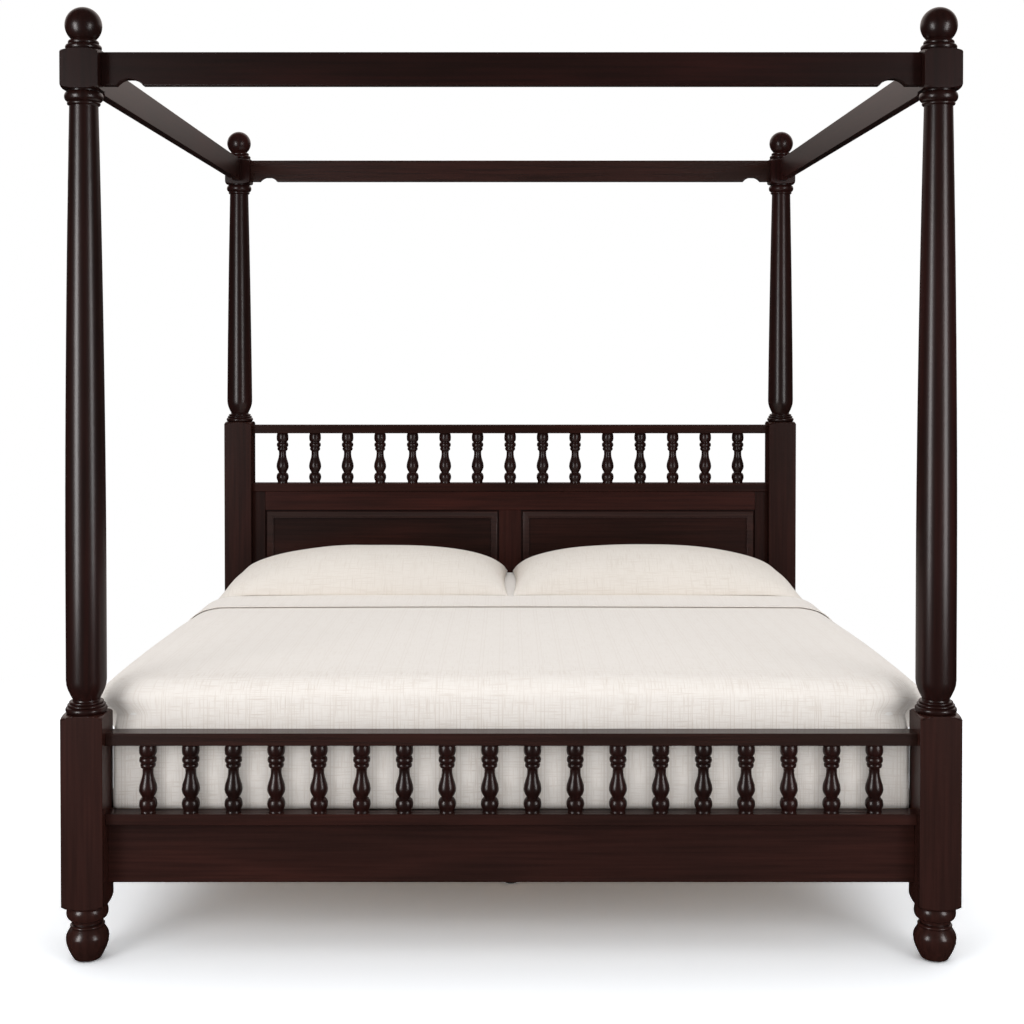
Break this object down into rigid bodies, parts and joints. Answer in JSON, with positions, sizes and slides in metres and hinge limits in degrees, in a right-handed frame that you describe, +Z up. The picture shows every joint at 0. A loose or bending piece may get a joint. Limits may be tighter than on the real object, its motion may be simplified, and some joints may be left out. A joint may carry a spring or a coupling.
{
  "type": "canopy bed",
  "caption": "Four-poster canopy bed in dark wood with turned posts, an open rail canopy, spindle galleries on headboard and footboard, and made-up bedding.",
  "frame": {"origin": "middle of the bed's footprint on the floor", "axes": "+X across the bed to the right of someone who looks from the footboard to the headboard, +Y towards the headboard, +Z up"},
  "size_m": [2.1416, 2.2035, 2.2815],
  "materials": {
    "dark_wood": "dark espresso stain under satin lacquer",
    "slat_wood": "plain sanded softwood",
    "zinc_steel": "zinc-plated",
    "nylon": "moulded nylon",
    "cotton": "smooth woven cotton",
    "linen": "slubbed cream linen weave"
  },
  "bodies": {
    "bed_frame": {"leg_foot_left": "dark_wood", "leg_foot_right": "dark_wood", "leg_head_left": "dark_wood", "leg_head_right": "dark_wood", "column_foot_left": "dark_wood", "column_foot_right": "dark_wood", "column_head_left": "dark_wood", "column_head_right": "dark_wood", "canopy_rail_foot": "dark_wood", "canopy_rail_head": "dark_wood", "canopy_rail_left": "dark_wood", "canopy_rail_right": "dark_wood", "footboard_top_rail": "dark_wood", "footboard_shelf": "dark_wood", "footboard_board": "dark_wood", "footboard_spindles": "dark_wood", "headboard_top_rail": "dark_wood", "headboard_gallery_rail": "dark_wood", "headboard_spindles": "dark_wood", "frame_top_rail": "dark_wood", "frame_bottom_rail": "dark_wood", "stile_left": "dark_wood", "stile_right": "dark_wood", "muntin": "dark_wood", "panel_left": "dark_wood", "panel_right": "dark_wood", "panel_moulding_left": "dark_wood", "panel_moulding_right": "dark_wood", "side_rail_left": "dark_wood", "side_rail_right": "dark_wood", "ledger_left": "slat_wood", "ledger_right": "slat_wood", "centre_beam": "slat_wood", "beam_legs": "slat_wood", "beam_cleats": "slat_wood", "slats": "slat_wood", "column_studs": "zinc_steel", "canopy_pins": "zinc_steel", "hook_plates": "zinc_steel", "hook_pins": "zinc_steel", "foot_glides": "nylon", "beam_levellers": "nylon", "frame_screws": "zinc_steel", "slat_screws": "zinc_steel"},
    "finial_foot_left": {"finial_foot_left": "dark_wood"},
    "finial_foot_right": {"finial_foot_right": "dark_wood"},
    "finial_head_left": {"finial_head_left": "dark_wood"},
    "finial_head_right": {"finial_head_right": "dark_wood"},
    "mattress_and_covers": {"mattress": "cotton", "fitted_sheet": "cotton", "coverlet": "linen"},
    "pillow_left": {"pillow_left": "linen"},
    "pillow_right": {"pillow_right": "linen"}
  },
  "joints": [
    {"name": "mattress_lift", "type": "slide", "parent": "bed_frame", "child": "mattress_and_covers", "axis": [0, 0, 1], "range_m": [0, 0.4]},
    {"name": "pillow_left_lift", "type": "slide", "parent": "mattress_and_covers", "child": "pillow_left", "axis": [0, 0, 1], "range_m": [0, 0.5]},
    {"name": "pillow_right_lift", "type": "slide", "parent": "mattress_and_covers", "child": "pillow_right", "axis": [0, 0, 1], "range_m": [0, 0.5]},
    {"name": "finial_foot_left_lift", "type": "slide", "parent": "bed_frame", "child": "finial_foot_left", "axis": [0, 0, 1], "range_m": [0, 0.08]},
    {"name": "finial_foot_right_lift", "type": "slide", "parent": "bed_frame", "child": "finial_foot_right", "axis": [0, 0, 1], "range_m": [0, 0.08]},
    {"name": "finial_head_left_lift", "type": "slide", "parent": "bed_frame", "child": "finial_head_left", "axis": [0, 0, 1], "range_m": [0, 0.08]},
    {"name": "finial_head_right_lift", "type": "slide", "parent": "bed_frame", "child": "finial_head_right", "axis": [0, 0, 1], "range_m": [0, 0.08]}
  ]
}
